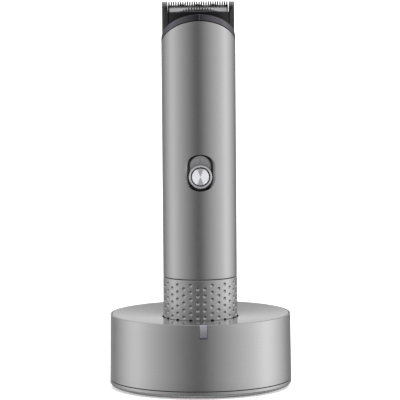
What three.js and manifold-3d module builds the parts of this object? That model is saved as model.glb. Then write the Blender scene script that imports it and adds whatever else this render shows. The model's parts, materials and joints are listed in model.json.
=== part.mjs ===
// A cordless body groomer standing in its round charging stand.
// Millimetres, +Z up, front towards -Y, origin at the middle of the stand's underside.

import * as THREE from "three";
import { mergeVertices } from "three/addons/utils/BufferGeometryUtils.js";
import Module from "manifold-3d";

const wasm = await Module();
wasm.setup();

// ---------------------------------------------------------------- driving dimensions

const GAP = 0.3; // clearance between pieces that touch on the real object
const ROUND = 44; // facets round the stand and the handpiece
const HIDDEN = 24; // facets round a large piece inside
const SMALL = 12; // facets round a pin or a screw

// Stand
const BASE_R = 48.15;
const BASE_TOP_R = 47.75;
const BASE_H = 39.1;
const BASE_WALL = 2.4;
const PAN_BOTTOM = 0.6;
const PAN_FLOOR = 3.0;
const PAN_TOP = 4.0;
const TOP_PLATE_T = 2.0;
const TOP_DISH = 1.75;
const TOP_LIP = 0.65;
const WELL_R = 20.3;
const WELL_FLOOR = 16.0;
const WELL_WALL = 1.6;
const FOOT_IN = 31;
const FOOT_OUT = 37;
const FOOT_TOP = 1.6;
const BOSS_AT = 42.0;
const BOSS_R = 3.9;
const BOARD_LOW = 9.3;
const BOARD_TOP = 10.6;
const INLET_Z = 12.6;
const LENS_W = 3.8;
const LENS_LOW = 32.1;
const LENS_BEVEL = 33.6; // below this the face slopes in
const LENS_BEVEL_IN = 0.4;
const LENS_DEPTH = 1.7;

// Charging pins and contacts
const PIN_X = 6;
const PIN_R = 1.2;
const PIN_LOW = 12.6;
const PIN_TOP = 16.7;

// Handpiece
const TUBE_R = 19.55;
const TUBE_WALL = 1.2;
const TUBE_IN = TUBE_R - TUBE_WALL;
const TAIL_Z = WELL_FLOOR + GAP;
const GRIP_LOW = 18.6;
const GRIP_TOP = 58.7;
const GRIP_R = 19.6;
const CHASSIS_R = TUBE_IN - GAP;
const CHASSIS_WALL = 1.5;
const CHASSIS_LOW = 22.8;
const CHASSIS_TOP = 166;

// Slanted mouth of the handpiece: planes z = height - y * tan(SLOPE_ANGLE)
const SLOPE_ANGLE = THREE.MathUtils.degToRad(34);
const TUBE_CUT = 181.4;
const COLLAR_LOW = TUBE_CUT + GAP;
const COLLAR_TOP = 185.2;
const HEAD_LOW = COLLAR_TOP + GAP;

// Slide switch, centred on z = SWITCH_Z
const SWITCH_Z = 115.2;
const RECESS_W = 11.4;
const RECESS_H = 17.6;
const BEZEL_W = 12.9;
const BEZEL_H = 18.7;
const BEZEL_FACE = -18.0;
const BUTTON_Z = 113.2;
const BUTTON_R = 6.05;
const BUTTON_DISC_R = 4.45;
const SLIDER_R = 5.35;
const BUTTON_FACE = -19.9;
const SWITCH_TRAVEL = 4.7;
const PLATE_FACE = -17.2;
const PLATE_T = 1.0;
const STEM_W = 3;
const STEM_Z = BUTTON_Z - 1;

// Motor and drive
const MOTOR_R = 10;
const MOTOR_LOW = 129;
const MOTOR_TOP = 160;
const ECCENTRIC = 0.8;
const DRIVE_PIN_R = 0.8;
const CAM_R = 4.5;
const CAM_LOW = 168;
const CAM_TOP = 176;
const DRIVE_PIN_TOP = 189;

// Blades: they lie in a plane leaning back from the comb's tips
const TIP_Y = 0.5;
const TIP_Z = 204.2;
const LEAN = THREE.MathUtils.degToRad(33);
const COMB_HALF = 15.85;
const COMB_LENGTH = 26;
const COMB_T = 0.9;
const COMB_TEETH = 26;
const COMB_GULLET = 2.6;
const CUTTER_HALF = 15.0;
const CUTTER_TEETH = 21;
const CUTTER_TIP = -0.9;
const CUTTER_GULLET = 1.7;
const CUTTER_ROOT = -14;
const CUTTER_T = 0.8;
const CUTTER_BACK = -COMB_T - 0.2;
const CUTTER_FACE = CUTTER_BACK - CUTTER_T;
const BAR_PROUD = 2.55;
const HEAD_R = 19.05;
const CHEEK_IN = COMB_HALF + GAP;
const CHEEK_TOP = 204.0;
const RIM = 0.6; // height of the frame's rim above the collar
const COVER_R = 18.75;
const COVER_HALF = CHEEK_IN - GAP;
const SCREW_X = 9;
const SCREW_AT = -22;

// ---------------------------------------------------------------- materials

function finish(color, roughness, metalness) {
  return new THREE.MeshStandardMaterial({ color, roughness, metalness });
}

const GUNMETAL = finish(0x8b8b8d, 0.38, 0.85);
const LID_METAL = finish(0x98989a, 0.25, 0.8);
const COLLAR_METAL = finish(0x5d5b62, 0.22, 0.9);
const CHROME = finish(0xe6e6ea, 0.12, 1);
const SPUN_STEEL = finish(0xdfe0e6, 0.25, 1);
const BLADE_STEEL = finish(0xc9cacc, 0.3, 1);
const SPRING_STEEL = finish(0x9fa3a8, 0.35, 1);
const BLACK_GLOSS = finish(0x1b1b1e, 0.25, 0);
const BLACK_MATTE = finish(0x222224, 0.6, 0);
const GREY_PLASTIC = finish(0x77777a, 0.45, 0.1);
const WHITE_PLASTIC = finish(0xd8d8d2, 0.5, 0);
const RUBBER = finish(0x1d1d1d, 0.85, 0);
const BOARD_GREEN = finish(0x1f5a36, 0.5, 0);
const BRASS = finish(0xc9a648, 0.3, 1);
const CELL_BLUE = finish(0x2c4f8c, 0.4, 0);
const CAST_IRON = finish(0x55575a, 0.6, 0.9);
const LENS = finish(0xb9b4c2, 0.3, 0);
const RED_WIRE = finish(0xa3201d, 0.5, 0);

// ---------------------------------------------------------------- shapes

// A ring or disc round Z from its half section, points [radius, z], anticlockwise.
function turned(points, segments = ROUND) {
  const profile = [...points, points[0]].map(([r, z]) => new THREE.Vector2(r, z));
  return new THREE.LatheGeometry(profile, segments).rotateX(Math.PI / 2);
}

function tube(outer, inner, low, high, segments = ROUND) {
  return turned([[inner, low], [outer, low], [outer, high], [inner, high]], segments);
}

function rod(radius, low, high, x = 0, y = 0, segments = SMALL) {
  return new THREE.CylinderGeometry(radius, radius, high - low, segments)
    .rotateX(Math.PI / 2)
    .translate(x, y, (low + high) / 2);
}

// A rod along Y, from y0 to y1.
function crossRod(radius, y0, y1, x, z, segments = SMALL) {
  return new THREE.CylinderGeometry(radius, radius, y1 - y0, segments).translate(x, (y0 + y1) / 2, z);
}

function block([x0, x1], [y0, y1], [z0, z1]) {
  return new THREE.BoxGeometry(x1 - x0, y1 - y0, z1 - z0)
    .translate((x0 + x1) / 2, (y0 + y1) / 2, (z0 + z1) / 2);
}

// A flat outline of points [x, z] given a thickness from y0 to y1.
function plate(shape, y0, y1, curveSegments = 8) {
  return new THREE.ExtrudeGeometry(shape, { depth: y1 - y0, bevelEnabled: false, curveSegments })
    .rotateX(Math.PI / 2)
    .translate(0, y1, 0);
}

function outline(points) {
  return new THREE.Shape(points.map(([a, b]) => new THREE.Vector2(a, b)));
}

// A side outline of points [y, z] carried across from -half to +half in x.
function across(points, half) {
  return new THREE.ExtrudeGeometry(outline(points), { depth: 2 * half, bevelEnabled: false })
    .applyMatrix4(new THREE.Matrix4().set(0, 0, 1, -half, 1, 0, 0, 0, 0, 1, 0, 0, 0, 0, 0, 1));
}

// An upright slot outline with round ends, centred on z.
function obround(width, height, z = SWITCH_Z) {
  const r = width / 2;
  const arm = height / 2 - r;
  return new THREE.Shape()
    .absarc(0, z + arm, r, 0, Math.PI, false)
    .absarc(0, z - arm, r, Math.PI, 2 * Math.PI, false);
}

// Everything under the slanted plane z = height - y * tan(SLOPE_ANGLE).
function underSlope(height) {
  const reach = 300;
  return block([-reach, reach], [-reach, reach], [-reach, 0])
    .rotateX(-SLOPE_ANGLE)
    .translate(0, 0, height);
}

// From the blades' own frame, with z up to the tips and y out of the skin side.
function leaned(geometry) {
  return geometry.rotateX(LEAN).translate(0, TIP_Y, TIP_Z);
}

// ---------------------------------------------------------------- joining and cutting

function toSolid(geometry) {
  const bare = geometry.clone();
  bare.deleteAttribute("normal");
  bare.deleteAttribute("uv");
  const merged = mergeVertices(bare, 1e-4);
  return new wasm.Manifold(new wasm.Mesh({
    numProp: 3,
    vertProperties: merged.attributes.position.array,
    triVerts: new Uint32Array(merged.index.array),
  }));
}

function toGeometry(solid) {
  const mesh = solid.getMesh();
  return new THREE.BufferGeometry()
    .setAttribute("position", new THREE.BufferAttribute(new Float32Array(mesh.vertProperties), 3))
    .setIndex(new THREE.BufferAttribute(new Uint32Array(mesh.triVerts), 1));
}

function combine(operation, first, others) {
  const result = others.reduce((solid, other) => solid[operation](toSolid(other)), toSolid(first));
  return toGeometry(result);
}

const join = (first, ...others) => combine("add", first, others);
const cut = (first, ...others) => combine("subtract", first, others);
const common = (first, ...others) => combine("intersect", first, others);

// ---------------------------------------------------------------- scene graph

const groomer = new THREE.Group();
const stand = new THREE.Group();
const handpiece = new THREE.Group();
const bladeHead = new THREE.Group();
groomer.add(stand, handpiece, bladeHead);

function piece(group, name, geometry, material) {
  const shown = geometry.index ? geometry.toNonIndexed() : geometry;
  shown.computeVertexNormals();
  const mesh = new THREE.Mesh(shown, material);
  mesh.name = name;
  group.add(mesh);
  return mesh;
}

const SIDES = [["left", -1], ["right", 1]];
const CORNERS = [1, 3, 5, 7].map((eighth) => (eighth * Math.PI) / 4);

// ---------------------------------------------------------------- stand

function lensNotch() {
  const half = LENS_W / 2 + GAP;
  return block(
    [-half, half],
    [-BASE_R - 1, -BASE_TOP_R + LENS_DEPTH + GAP],
    [LENS_LOW - GAP, BASE_H + 1],
  );
}

function baseWall() {
  const inside = BASE_R - BASE_WALL;
  const ledge = BASE_H - TOP_PLATE_T - GAP;
  const lip = BASE_TOP_R - TOP_LIP;
  const foot = PAN_TOP + GAP;
  const shell = turned([
    [inside, foot],
    [BASE_R, foot],
    [BASE_TOP_R, BASE_H - 0.4],
    [BASE_TOP_R - 0.25, BASE_H],
    [lip, BASE_H],
    [lip, ledge],
    [inside, ledge],
  ]);
  const bosses = CORNERS.map((a) =>
    rod(BOSS_R, foot, 22, BOSS_AT * Math.cos(a), BOSS_AT * Math.sin(a)));
  const pilots = CORNERS.map((a) =>
    rod(1.3, 0, 16, BOSS_AT * Math.cos(a), BOSS_AT * Math.sin(a), 12));
  const inletSlot = plate(obround(4.2, 10.0, 0), BASE_R - 4, BASE_R + 1, 8)
    .rotateY(Math.PI / 2)
    .translate(0, 0, INLET_Z);
  const pipePath = block([-1.5, 1.5], [-46.5, -44], [LENS_LOW - GAP, 36.3]);
  return cut(join(shell, ...bosses), ...pilots, inletSlot, lensNotch(), pipePath);
}
piece(stand, "base_wall", baseWall(), GUNMETAL);

function baseTopPlate() {
  const low = BASE_H - TOP_PLATE_T;
  const rim = BASE_TOP_R - TOP_LIP - GAP;
  const disc = turned([
    [WELL_R, low - TOP_DISH],
    [rim, low],
    [rim, BASE_H],
    [WELL_R + 0.5, BASE_H - TOP_DISH],
    [WELL_R, BASE_H - TOP_DISH - 0.5],
  ]);
  return cut(disc, lensNotch());
}
piece(stand, "base_top_plate", baseTopPlate(), LID_METAL);

function basePan() {
  const disc = turned([
    [0, PAN_BOTTOM],
    [FOOT_IN - GAP, PAN_BOTTOM],
    [FOOT_IN - GAP, FOOT_TOP + GAP],
    [FOOT_OUT + GAP, FOOT_TOP + GAP],
    [FOOT_OUT + GAP, PAN_BOTTOM],
    [45.3, PAN_BOTTOM],
    [46.9, 1.0],
    [47.8, 1.7],
    [BASE_R, 2.4],
    [BASE_R, PAN_TOP],
    [46.2, PAN_TOP],
    [46.2, PAN_FLOOR],
    [0, PAN_FLOOR],
  ]);
  const sunk = CORNERS.flatMap((a) => {
    const x = BOSS_AT * Math.cos(a);
    const y = BOSS_AT * Math.sin(a);
    return [rod(2.6, 0, 1.9, x, y), rod(1.3, 0, 4, x, y, 12)];
  });
  return cut(disc, ...sunk);
}
piece(stand, "base_pan", basePan(), GUNMETAL);

piece(stand, "foot_ring", tube(FOOT_OUT, FOOT_IN, 0, FOOT_TOP, HIDDEN), RUBBER);

CORNERS.forEach((a, i) => {
  const screw = turned([[0, 0.8], [2.2, 0.8], [2.2, 1.6], [1.0, 1.6], [1.0, 14], [0, 15]], SMALL)
    .translate(BOSS_AT * Math.cos(a), BOSS_AT * Math.sin(a), 0);
  const slot = new THREE.BoxGeometry(3.0, 0.6, 0.8)
    .rotateZ(a)
    .translate(BOSS_AT * Math.cos(a), BOSS_AT * Math.sin(a), 0.8);
  piece(stand, "base_screw_" + (i + 1), cut(screw, slot), SPRING_STEEL);
});

piece(stand, "ballast_ring", tube(37.6, 26, PAN_FLOOR + GAP, 8.9, HIDDEN), CAST_IRON);

function socketCup() {
  const outer = WELL_R + WELL_WALL;
  const low = WELL_FLOOR - WELL_WALL;
  const high = BASE_H - TOP_PLATE_T - TOP_DISH - GAP;
  const cup = turned([
    [0, low],
    [outer, low],
    [outer, high - WELL_WALL],
    [27, high - WELL_WALL],
    [27, high],
    [WELL_R, high],
    [WELL_R, WELL_FLOOR],
    [0, WELL_FLOOR],
  ]);
  return cut(cup, ...SIDES.map(([, s]) => rod(PIN_R + GAP, 10, 20, s * PIN_X)));
}
piece(stand, "socket_cup", socketCup(), BLACK_MATTE);

const pinBlockTop = WELL_FLOOR - WELL_WALL - GAP;
piece(stand, "pin_block", cut(
  block([-11, 11], [-4.5, 4.5], [BOARD_TOP + GAP, pinBlockTop]),
  ...SIDES.map(([, s]) => rod(PIN_R + GAP, 10, 20, s * PIN_X)),
), WHITE_PLASTIC);

for (const [side, s] of SIDES) {
  const pin = turned([
    [0, PIN_LOW],
    [PIN_R, PIN_LOW],
    [PIN_R, PIN_TOP - 0.6],
    [0.6, PIN_TOP],
    [0, PIN_TOP],
  ], SMALL).translate(s * PIN_X, 0, 0);
  piece(stand, "charge_pin_" + side, pin, BRASS);
}

piece(stand, "base_circuit_board", join(
  rod(24, BOARD_LOW, BOARD_TOP, 0, 0, HIDDEN),
  block([-9.5, 9.5], [0, 43.5], [BOARD_LOW, BOARD_TOP]),
  block([-4, 4], [-44.6, 0], [BOARD_LOW, BOARD_TOP]),
), BOARD_GREEN);

// The inlet's shell is a flat tube along Y with a contact tongue inside.
function usbInlet() {
  const mouth = BASE_R - 2;
  const lying = (shape, y0, y1) =>
    plate(shape, y0, y1, 8).rotateY(Math.PI / 2).translate(0, 0, INLET_Z);
  const shell = lying(obround(3.2, 8.9, 0), mouth - 7.4, mouth);
  const bore = lying(obround(2.5, 8.2, 0), mouth - 6.4, mouth + 1);
  const tongue = block([-3.3, 3.3], [mouth - 7, mouth - 1.2], [INLET_Z - 0.35, INLET_Z + 0.35]);
  return join(cut(shell, bore), tongue);
}
piece(stand, "usb_inlet", usbInlet(), SPRING_STEEL);

// The lens wraps over the stand's top edge and has a light pipe down to the lamp.
const lensFace = -BASE_TOP_R - 0.1;
piece(stand, "indicator_lens", join(
  across([
    [lensFace, LENS_BEVEL],
    [lensFace + LENS_BEVEL_IN, LENS_LOW],
    [-BASE_TOP_R + LENS_DEPTH, LENS_LOW],
    [-BASE_TOP_R + LENS_DEPTH, BASE_H],
    [lensFace + 0.5, BASE_H],
    [lensFace, BASE_H - 0.5],
  ], LENS_W / 2),
  block([-1.2, 1.2], [-47, -42.4], [LENS_LOW, 36]),
  block([-1.2, 1.2], [-44.8, -42.4], [12.3, 36]),
), LENS);

piece(stand, "indicator_led",
  block([-0.9, 0.9], [-44.3, -42.9], [BOARD_TOP + GAP, 12]), WHITE_PLASTIC);

// ---------------------------------------------------------------- handpiece casing

piece(handpiece, "tail_cap", cut(
  turned([
    [0, TAIL_Z],
    [18.5, TAIL_Z],
    [19.5, TAIL_Z + 1],
    [19.5, GRIP_LOW - GAP],
    [CHASSIS_R, GRIP_LOW - GAP],
    [CHASSIS_R, CHASSIS_LOW - GAP],
    [16.4, CHASSIS_LOW - GAP],
    [16.4, 18.4],
    [0, 18.4],
  ]),
  ...SIDES.map(([, s]) => rod(2.8, 15, 20, s * PIN_X)),
), BLACK_MATTE);

for (const [side, s] of SIDES) {
  piece(handpiece, "contact_" + side, rod(2.5, PIN_TOP + GAP, 19.4, s * PIN_X), BRASS);
}

piece(handpiece, "grip_sleeve", turned([
  [TUBE_IN, GRIP_LOW],
  [GRIP_R - 0.3, GRIP_LOW],
  [GRIP_R, GRIP_LOW + 0.3],
  [GRIP_R, GRIP_TOP - 0.2],
  [GRIP_R - 0.2, GRIP_TOP],
  [TUBE_IN, GRIP_TOP],
]), GUNMETAL);

const sealZ = GRIP_TOP + GAP / 2;
piece(handpiece, "seam_seal",
  tube(TUBE_IN - 0.1, CHASSIS_R - 0.9, sealZ - 0.6, sealZ + 0.6), RUBBER);

piece(handpiece, "casing_tube", common(
  cut(
    tube(TUBE_R, TUBE_IN, GRIP_TOP + GAP, TUBE_CUT + 20),
    plate(obround(BEZEL_W + 2 * GAP, BEZEL_H + 2 * GAP), -TUBE_R - 1, -10),
  ),
  underSlope(TUBE_CUT),
), GUNMETAL);

piece(handpiece, "collar", cut(
  common(tube(TUBE_R, TUBE_IN - 0.2, 150, 210), underSlope(COLLAR_TOP)),
  underSlope(COLLAR_LOW),
), COLLAR_METAL);

piece(handpiece, "switch_bezel", cut(
  plate(obround(BEZEL_W, BEZEL_H), BEZEL_FACE, PLATE_FACE + PLATE_T),
  plate(obround(RECESS_W, RECESS_H), -TUBE_R, -10),
), BLACK_MATTE);

// The plate at the bottom of the recess has a slot for the slider's stem.
const stemSlot = [
  STEM_Z - STEM_W / 2 - GAP,
  STEM_Z + STEM_W / 2 + SWITCH_TRAVEL + GAP,
];
piece(handpiece, "switch_plate", cut(
  plate(obround(RECESS_W - 2 * GAP, RECESS_H - 2 * GAP), PLATE_FACE, PLATE_FACE + PLATE_T),
  block([-STEM_W / 2 - GAP, STEM_W / 2 + GAP], [-20, -10], stemSlot),
), GREY_PLASTIC);

// ---------------------------------------------------------------- handpiece inside

const chassisIn = CHASSIS_R - CHASSIS_WALL;

// One half of the chassis shell, with cross ribs that hold the battery and the motor.
function chassisHalf(facing) {
  const shell = tube(CHASSIS_R, chassisIn, CHASSIS_LOW, CHASSIS_TOP, HIDDEN);
  const ribs = [CHASSIS_LOW, 93.6, 126.6, 163.4].map((z) =>
    tube(chassisIn + 0.5, 11.4, z, z + 1.6, HIDDEN));
  const sealGroove = tube(CHASSIS_R + 1, CHASSIS_R - 1.2, sealZ - 0.9, sealZ + 0.9, HIDDEN);
  const side = facing < 0 ? [-GAP / 2, 30] : [-30, GAP / 2];
  return cut(join(shell, ...ribs), sealGroove, block([-30, 30], side, [0, 200]));
}

piece(handpiece, "chassis_front", cut(
  chassisHalf(-1),
  block([-9.2, 9.2], [-20, -10.5], [SWITCH_Z - 12.5, SWITCH_Z + 12.5]),
  block([-13, 13], [-13, 0], [60, CHASSIS_TOP]),
), WHITE_PLASTIC);

piece(handpiece, "chassis_rear", cut(
  chassisHalf(1),
  block([-13, 13], [0, 9], [96, MOTOR_LOW]),
), WHITE_PLASTIC);

const CELL_Y = 3.5;
const CELL_LOW = 27;
const CELL_TOP = 92;
piece(handpiece, "battery_cell", turned([
  [0, CELL_LOW],
  [9.1, CELL_LOW],
  [9.1, CELL_TOP - 2],
  [3, CELL_TOP - 2],
  [3, CELL_TOP],
  [0, CELL_TOP],
], HIDDEN).translate(0, CELL_Y, 0), CELL_BLUE);
for (const [end, low] of [["bottom", CELL_LOW - 0.6], ["top", CELL_TOP + GAP]]) {
  const tab = block([-3, 3], [CELL_Y - 4, CELL_Y + 4], [low, low + 0.3]);
  piece(handpiece, "battery_tab_" + end, tab, SPRING_STEEL);
}

const PCB_FRONT = -11.2;
piece(handpiece, "control_board",
  block([-11, 11], [PCB_FRONT, PCB_FRONT + 1.4], [64, 126]), BOARD_GREEN);
piece(handpiece, "micro_switch", cut(
  block([-4, 4], [PCB_FRONT - 2.4, PCB_FRONT - GAP], [106, 124]),
  block([-1.6, 1.6], [PCB_FRONT - 3, PCB_FRONT - 1], [STEM_Z - 2.5, STEM_Z + SWITCH_TRAVEL + 2.5]),
), BLACK_MATTE);

piece(handpiece, "motor_can", cut(
  turned([
    [0, MOTOR_LOW],
    [3, MOTOR_LOW],
    [3, MOTOR_LOW + 1],
    [MOTOR_R, MOTOR_LOW + 1],
    [MOTOR_R, MOTOR_TOP - 1],
    [3, MOTOR_TOP - 1],
    [3, MOTOR_TOP],
    [0, MOTOR_TOP],
  ], HIDDEN),
  rod(1.3, MOTOR_LOW + 3, MOTOR_TOP + 1),
), SPRING_STEEL);

const bracketLow = MOTOR_TOP - 1 + GAP;
piece(handpiece, "motor_bracket", cut(
  rod(13.8, bracketLow, bracketLow + 2, 0, 0, HIDDEN),
  rod(3.3, 150, 170),
  ...SIDES.map(([, s]) => rod(1.1, 150, 170, s * 7, 0, 12)),
), GREY_PLASTIC);
for (const [side, s] of SIDES) {
  const top = bracketLow + 2 + GAP;
  const screw = turned([
    [0, bracketLow + 0.1],
    [0.8, bracketLow + 0.1],
    [0.8, top],
    [1.8, top],
    [1.8, top + 1],
    [0, top + 1],
  ], 16).translate(s * 7, 0, 0);
  piece(handpiece, "bracket_screw_" + side, screw, SPRING_STEEL);
}

// An insulated wire through the given points.
function lead(points) {
  const route = new THREE.CatmullRomCurve3(points.map((p) => new THREE.Vector3(...p)));
  const section = new THREE.Shape().absarc(0, 0, 0.55, 0, 2 * Math.PI, false);
  return new THREE.ExtrudeGeometry(section, { extrudePath: route, steps: 10, curveSegments: 4 });
}
for (const [side, s] of SIDES) {
  const insulation = s < 0 ? RED_WIRE : BLACK_MATTE;
  piece(handpiece, "motor_lead_" + side, lead([
    [s * 6, -9.2, 121],
    [s * 6, -7.6, 123.5],
    [s * 6, -6.2, 126.5],
    [s * 6, -6, 129.6],
  ]), insulation);
  piece(handpiece, "charge_lead_" + side, lead([
    [s * 6, 0, 19.8],
    [s * 7, -3.5, 21.4],
    [s * 8, -8.6, 27],
    [s * 8, -10.2, 45],
    [s * 8, -10.4, 63.6],
  ]), insulation);
}

// ---------------------------------------------------------------- slide switch

const slide = new THREE.Group();
handpiece.add(slide);

piece(slide, "button_ring", cut(
  crossRod(BUTTON_R, BUTTON_FACE, BUTTON_FACE + 1.4, 0, BUTTON_Z, HIDDEN),
  crossRod(BUTTON_DISC_R + GAP, BUTTON_FACE - 1, BUTTON_FACE + 2, 0, BUTTON_Z, HIDDEN),
), CHROME);
piece(slide, "button_disc",
  crossRod(BUTTON_DISC_R, BUTTON_FACE + 0.2, BUTTON_FACE + 1.4, 0, BUTTON_Z, HIDDEN),
  SPUN_STEEL);

piece(slide, "switch_slider", join(
  crossRod(SLIDER_R, BUTTON_FACE + 1.4 + GAP, PLATE_FACE - GAP, 0, BUTTON_Z, HIDDEN),
  block([-STEM_W / 2, STEM_W / 2], [PLATE_FACE - 0.5, -13.9], [STEM_Z - STEM_W / 2, STEM_Z + STEM_W / 2]),
  block([-0.7, 0.7], [-14, -12.6], [STEM_Z - 0.8, STEM_Z + 0.8]),
), BLACK_MATTE);

// A thin strip rides behind the plate and keeps the slot dark.
const stripBack = PLATE_FACE + PLATE_T + GAP;
const stemHole = STEM_W / 2 + GAP;
piece(slide, "dust_strip", cut(
  block([-3, 3], [stripBack, stripBack + 0.5], [STEM_Z - 6.5, STEM_Z + 3.2]),
  block([-stemHole, stemHole], [-20, -10], [STEM_Z - stemHole, STEM_Z + stemHole]),
), BLACK_MATTE);

// ---------------------------------------------------------------- drive

piece(handpiece, "motor_shaft", rod(1, MOTOR_LOW + 4, CAM_TOP - 3), SPRING_STEEL);
piece(handpiece, "eccentric_cam", join(
  cut(rod(CAM_R, CAM_LOW, CAM_TOP, 0, 0, HIDDEN), rod(1.3, CAM_LOW - 1, CAM_TOP - 2)),
  rod(DRIVE_PIN_R, CAM_TOP - 0.5, DRIVE_PIN_TOP, 0, ECCENTRIC),
), BLACK_MATTE);

// ---------------------------------------------------------------- blade head

// A flat blade in its own frame: a body from z = root up to a row of teeth that end at z = tip.
// Its lower corners are cut off from z = shoulder down to a narrower root.
function blade({ half, rootHalf, shoulder, root, tip, gullet, teeth, rootShare, tipShare, y0, y1 }) {
  const pitch = (2 * half) / teeth;
  const points = [[-half, shoulder], [-rootHalf, root], [rootHalf, root], [half, shoulder]];
  for (let i = teeth - 1; i >= 0; i--) {
    const x = -half + (i + 0.5) * pitch;
    const foot = (pitch * rootShare) / 2;
    const point = (pitch * tipShare) / 2;
    points.push([x + foot, tip - gullet], [x + point, tip], [x - point, tip], [x - foot, tip - gullet]);
  }
  return plate(outline(points), y0, y1);
}

const comb = blade({
  half: COMB_HALF,
  rootHalf: 11,
  shoulder: -17,
  root: -COMB_LENGTH,
  tip: 0,
  gullet: COMB_GULLET,
  teeth: COMB_TEETH,
  rootShare: 0.62,
  tipShare: 0.34,
  y0: -COMB_T,
  y1: 0,
});
const blades = new THREE.Group();
blades.position.set(0, TIP_Y, TIP_Z);
blades.rotation.x = LEAN;
bladeHead.add(blades);

piece(blades, "fixed_blade", cut(
  comb,
  ...SIDES.map(([, s]) => crossRod(1.3, -3, 3, s * SCREW_X, SCREW_AT, 16)),
), BLADE_STEEL);

// A bar along the cutter's face stiffens it; its upper face is ground to a slope.
piece(blades, "moving_blade", join(
  blade({
    half: CUTTER_HALF,
    rootHalf: CUTTER_HALF - 1,
    shoulder: CUTTER_ROOT + 1,
    root: CUTTER_ROOT,
    tip: CUTTER_TIP,
    gullet: CUTTER_GULLET,
    teeth: CUTTER_TEETH,
    rootShare: 0.66,
    tipShare: 0.36,
    y0: CUTTER_FACE,
    y1: CUTTER_BACK,
  }),
  across([
    [CUTTER_FACE + 0.4, -2.8],
    [CUTTER_FACE, -2.8],
    [CUTTER_FACE - BAR_PROUD, -4.1],
    [CUTTER_FACE - BAR_PROUD, -5.6],
    [CUTTER_FACE, -7],
    [CUTTER_FACE + 0.4, -7],
  ], CUTTER_HALF - 0.2),
), BLADE_STEEL);

for (const [side, s] of SIDES) {
  piece(blades, "blade_screw_" + side, cut(
    join(
      crossRod(2.1, GAP, 1.2, s * SCREW_X, SCREW_AT),
      crossRod(0.95, -6, 0.5, s * SCREW_X, SCREW_AT, 16),
    ),
    block([s * SCREW_X - 1.4, s * SCREW_X + 1.4], [0.8, 2], [SCREW_AT - 0.3, SCREW_AT + 0.3]),
  ), SPRING_STEEL);
}

// The carrier grips the cutter and reaches down round the drive pin. Its slot leaves the pin free.
const carrierFace = CUTTER_BACK - CUTTER_T - GAP;
const SLOT_X = 2 * ECCENTRIC + DRIVE_PIN_R + GAP;
const SLOT_Y = ECCENTRIC + DRIVE_PIN_R + 0.6;
const FORK_LOW = 186;
const FORK_TOP = 190;
piece(bladeHead, "drive_carrier", cut(
  join(
    leaned(block([-9, 9], [carrierFace - 2, carrierFace], [-13.5, -8.5])),
    block([-3, 3], [2.6, 5.2], [FORK_LOW, 192.1]),
    block([-SLOT_X - 1.7, SLOT_X + 1.7], [-SLOT_Y - 1.6, 5.2], [FORK_LOW, FORK_TOP]),
  ),
  block([-SLOT_X, SLOT_X], [-SLOT_Y, SLOT_Y], [FORK_LOW - 1, FORK_TOP + 1]),
), WHITE_PLASTIC);

// A U-shaped leaf presses the cutter against the comb.
const springFace = carrierFace - 2 - GAP;
piece(blades, "cutter_spring", join(
  block([-12, 12], [springFace - 0.4, springFace], [-9.6, -8.2]),
  block([-12, -9.4], [springFace - 0.4, springFace], [-16, -9]),
  block([9.4, 12], [springFace - 0.4, springFace], [-16, -9]),
), SPRING_STEEL);

// The frame: two cheeks beside the blades, a seat behind them and a spigot in the handpiece.
function headFrame() {
  const guard = across([
    [-14, 187.6],
    [-14, 194.1],
    [-11.5, 196.8],
    [-6.2, 202.2],
    [-4.6, CHEEK_TOP - 0.5],
    [-3.0, CHEEK_TOP],
    [0.4, CHEEK_TOP],
    [1.6, CHEEK_TOP - 0.5],
    [20.4, 174.6],
    [20.4, 165],
  ], HEAD_R);
  const cheeks = cut(guard, block([-CHEEK_IN, CHEEK_IN], [-30, 30], [160, 220]));
  const seat = leaned(join(
    block([-CHEEK_IN - 1, CHEEK_IN + 1], [-16, CUTTER_BACK - 0.1], [-44, -16.5]),
    block([-CHEEK_IN - 1, CHEEK_IN + 1], [-16, 0.2], [-44, -COMB_LENGTH - GAP]),
  ));
  const body = cut(
    common(join(cheeks, seat), rod(HEAD_R, 160, 220, 0, 0, ROUND)),
    underSlope(HEAD_LOW),
  );
  const spigotR = TUBE_IN - 0.2 - GAP;
  const spigot = common(tube(spigotR, spigotR - 1.8, 167, 215), underSlope(HEAD_LOW + RIM));
  const aboveCollar = cut(rod(HEAD_R, 160, 220, 0, 0, ROUND), underSlope(HEAD_LOW));
  const rim = common(aboveCollar, underSlope(HEAD_LOW + RIM), tube(HEAD_R, spigotR - 1.8, 160, 220));
  const screwHoles = SIDES.map(([, s]) => leaned(crossRod(1.3, -7, 3, s * SCREW_X, SCREW_AT, 16)));
  return cut(join(body, rim, spigot), rod(9, 160, 230, 0, 0, HIDDEN), ...screwHoles);
}
piece(bladeHead, "head_frame", headFrame(), BLACK_GLOSS);

// The cover closes the front between the cheeks and is crowned from side to side.
const CROWN_R = 57;
const CROWN_TOP = 200.9;
function coverBlock(shrink) {
  const seatHeight = HEAD_LOW + RIM + GAP;
  const body = across([
    [-30, 170],
    [-30, 199.2 - shrink],
    [-18.6, 199.5 - shrink],
    [-11, 199.9 - shrink],
    [-4, CROWN_TOP - shrink],
    [-3.2 + (shrink ? 5 : 0), CROWN_TOP - shrink],
    [-3.2 + (shrink ? 5 : 0), 170],
  ], COVER_HALF - shrink);
  const crown = crossRod(CROWN_R - shrink, -40, 40, 0, CROWN_TOP - CROWN_R, 160);
  return cut(
    common(body, crown, rod(COVER_R - shrink, 160, 220, 0, 0, ROUND)),
    underSlope(seatHeight - (shrink ? 20 : 0)),
  );
}
piece(bladeHead, "front_cover", cut(coverBlock(0), coverBlock(1.5)), BLACK_GLOSS);

export default groomer;
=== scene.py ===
# A cordless body groomer standing in its charging stand.
# Meshes are worked out in millimetres and written in metres, +Z up, front towards -Y.

import json
import math

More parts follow.
